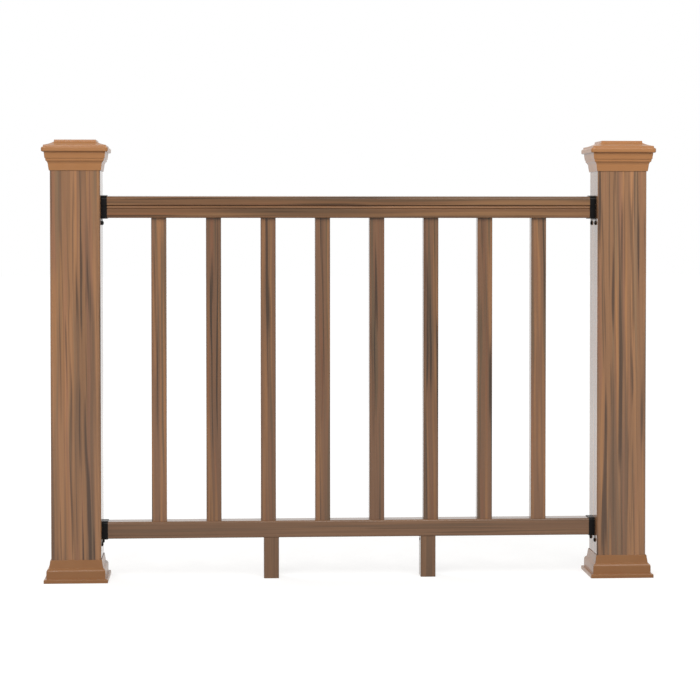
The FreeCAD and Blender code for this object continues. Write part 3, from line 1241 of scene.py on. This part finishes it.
@dataclass
class Studio:
    """Plain pale floor, soft light and a white surround."""

    floor_half: float = 30.0
    floor_colour: str = "#abaaa8"
    lift_near: float = 0.72
    lift_far: float = 0.94
    lift_reach: float = 4.0
    ambient: float = 0.25
    lamps: tuple[SoftBox, ...] = (
        SoftBox("key", (0.9, -2.4, 2.9), (0.2, 0.0, 0.5), width=2.0, watts=62.0),
        SoftBox("fill", (-1.8, -4.4, 2.8), (-0.2, 0.0, 0.5), width=2.0, watts=88.0),
        SoftBox("back", (-3.0, 2.6, 2.8), (0.0, 0.0, 0.5), width=2.4, watts=75.0),
    )

    def build(self) -> None:
        """Build the floor, the lamps and the world."""
        self.floor()
        for lamp in self.lamps:
            lamp.hang()
        self.world()
        bpy.context.scene.view_settings.view_transform = "Standard"

    @staticmethod
    def seen_ray(add: Adder) -> Socket:
        """One for rays from the camera, off gloss or through glass, and nought for the rest.

        Args:
            add: Adds a node to the floor's material or to the world.

        Returns:
            The share.
        """
        path = add("ShaderNodeLightPath")
        seen = path["Is Camera Ray"]
        for kind in ("Is Glossy Ray", "Is Transmission Ray"):
            seen = add("ShaderNodeMath", {"operation": "MAXIMUM"}, {0: seen, 1: path[kind]})[0]
        return seen

    def floor(self) -> None:
        """Lay the floor at deck level; it looks white, but keeps the section's shadow."""
        half = self.floor_half
        corners = [(x, y, 0.0) for x, y in ((-half, -half), (half, -half), (half, half), (-half, half))]
        mesh = bpy.data.meshes.new("studio_floor")
        mesh.from_pydata(corners, [], [(0, 1, 2, 3)])
        material, add = blank_material("studio_floor_paper")
        paper = add("ShaderNodeBsdfDiffuse", {"Color": linear(self.floor_colour)})
        place = add("ShaderNodeTexCoord")["Object"]
        away = add("ShaderNodeVectorMath", {"operation": "LENGTH"}, {0: place})["Value"]
        # The lift grows with distance, because the lamps light the far floor less
        ramp = {"From Max": self.lift_reach, "To Min": self.lift_near, "To Max": self.lift_far}
        lift = add("ShaderNodeMapRange", ramp, {"Value": away})[0]
        seen = add("ShaderNodeMath", {"operation": "MULTIPLY"}, {0: lift, 1: self.seen_ray(add)})[0]
        glow = add("ShaderNodeEmission", {}, {"Strength": seen})
        both = add("ShaderNodeAddShader", {}, {0: paper[0], 1: glow[0]})
        add("ShaderNodeOutputMaterial", {}, {"Surface": both[0]})
        mesh.materials.append(material)
        linked("studio_floor", mesh)

    def world(self) -> None:
        """White where it is seen, and a soft even light elsewhere."""
        world = bpy.data.worlds.new("studio")
        bpy.context.scene.world = world
        world.use_nodes = True
        world.node_tree.nodes.clear()
        add = partial(add_node, world.node_tree)
        ramp = {"To Min": self.ambient, "To Max": 1.0}
        strength = add("ShaderNodeMapRange", ramp, {"Value": self.seen_ray(add)})[0]
        sky = add("ShaderNodeBackground", {"Color": (1.0, 1.0, 1.0, 1.0)}, {"Strength": strength})[0]
        add("ShaderNodeOutputWorld", {}, {"Surface": sky})


@dataclass
class ViewCamera:
    """Camera where the photograph was taken, from a fit to the section's edges."""

    place: Triple = (-0.300, -5.3373, 0.850)
    yaw: float = 0.0628
    pitch: float = -0.0271
    focal_pixels: float = 2228.5
    middle_pixels: Point = (364.2, 283.2)
    frame_pixels: float = 700.0
    sensor: float = 36.0

    def build(self) -> None:
        """Make the camera and look through it."""
        data = bpy.data.cameras.new("photograph")
        data.sensor_width = self.sensor
        data.lens = self.focal_pixels * self.sensor / self.frame_pixels
        # The photograph is a crop, so the middle of the lens isn't the middle of the frame
        data.shift_x = 0.5 - self.middle_pixels[0] / self.frame_pixels
        data.shift_y = self.middle_pixels[1] / self.frame_pixels - 0.5
        camera = bpy.data.objects.new("photograph", data)
        turn = Euler((math.tau / 4 + self.pitch, 0.0, -self.yaw)).to_matrix()
        camera.matrix_world = Matrix.Translation(self.place) @ turn.to_4x4()
        bpy.context.scene.collection.objects.link(camera)
        bpy.context.scene.camera = camera


def main() -> None:
    """Build the railing section, its studio and its camera."""
    logging.basicConfig(level=logging.INFO, format="%(message)s")
    cap_finish = CAP_TRIM.material()
    skirt_finish = SKIRT_TRIM.material()
    bracket_finish = BRACKET_COAT.material()

    Post(Side.LEFT, sleeve_tone=-0.02).build(LEFT_POST_COMPOSITE.material(), cap_finish, skirt_finish)
    Post(Side.RIGHT, sleeve_tone=0.05).build(RIGHT_POST_COMPOSITE.material(), cap_finish, skirt_finish)
    Handrail("top_rail", tone=0.0).build(HANDRAIL_COMPOSITE.material())
    BottomRail("bottom_rail", tone=0.05).build(BOTTOM_RAIL_COMPOSITE.material())

    bars = BarRow.tree()
    baluster_nodes = sorted(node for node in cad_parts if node.startswith("baluster_"))
    BarRow("balusters", baluster_nodes).build(bars, BALUSTER_COMPOSITE.material())
    feet = BarRow("foot_blocks", ["left_foot_block", "right_foot_block"], tone_spread=0.03)
    feet.build(bars, FOOT_COMPOSITE.material())

    seats = [feet.toe_screw_seat()]
    for level in Level:
        for side in Side:
            bracket = CollarBracket(level, side)
            bracket.build(bracket_finish)
            seats += bracket.screw_seats()
    ScrewSet(seats).build(SCREW_COAT.material())

    Studio().build()
    ViewCamera().build()


if __name__ == "__main__":
    main()
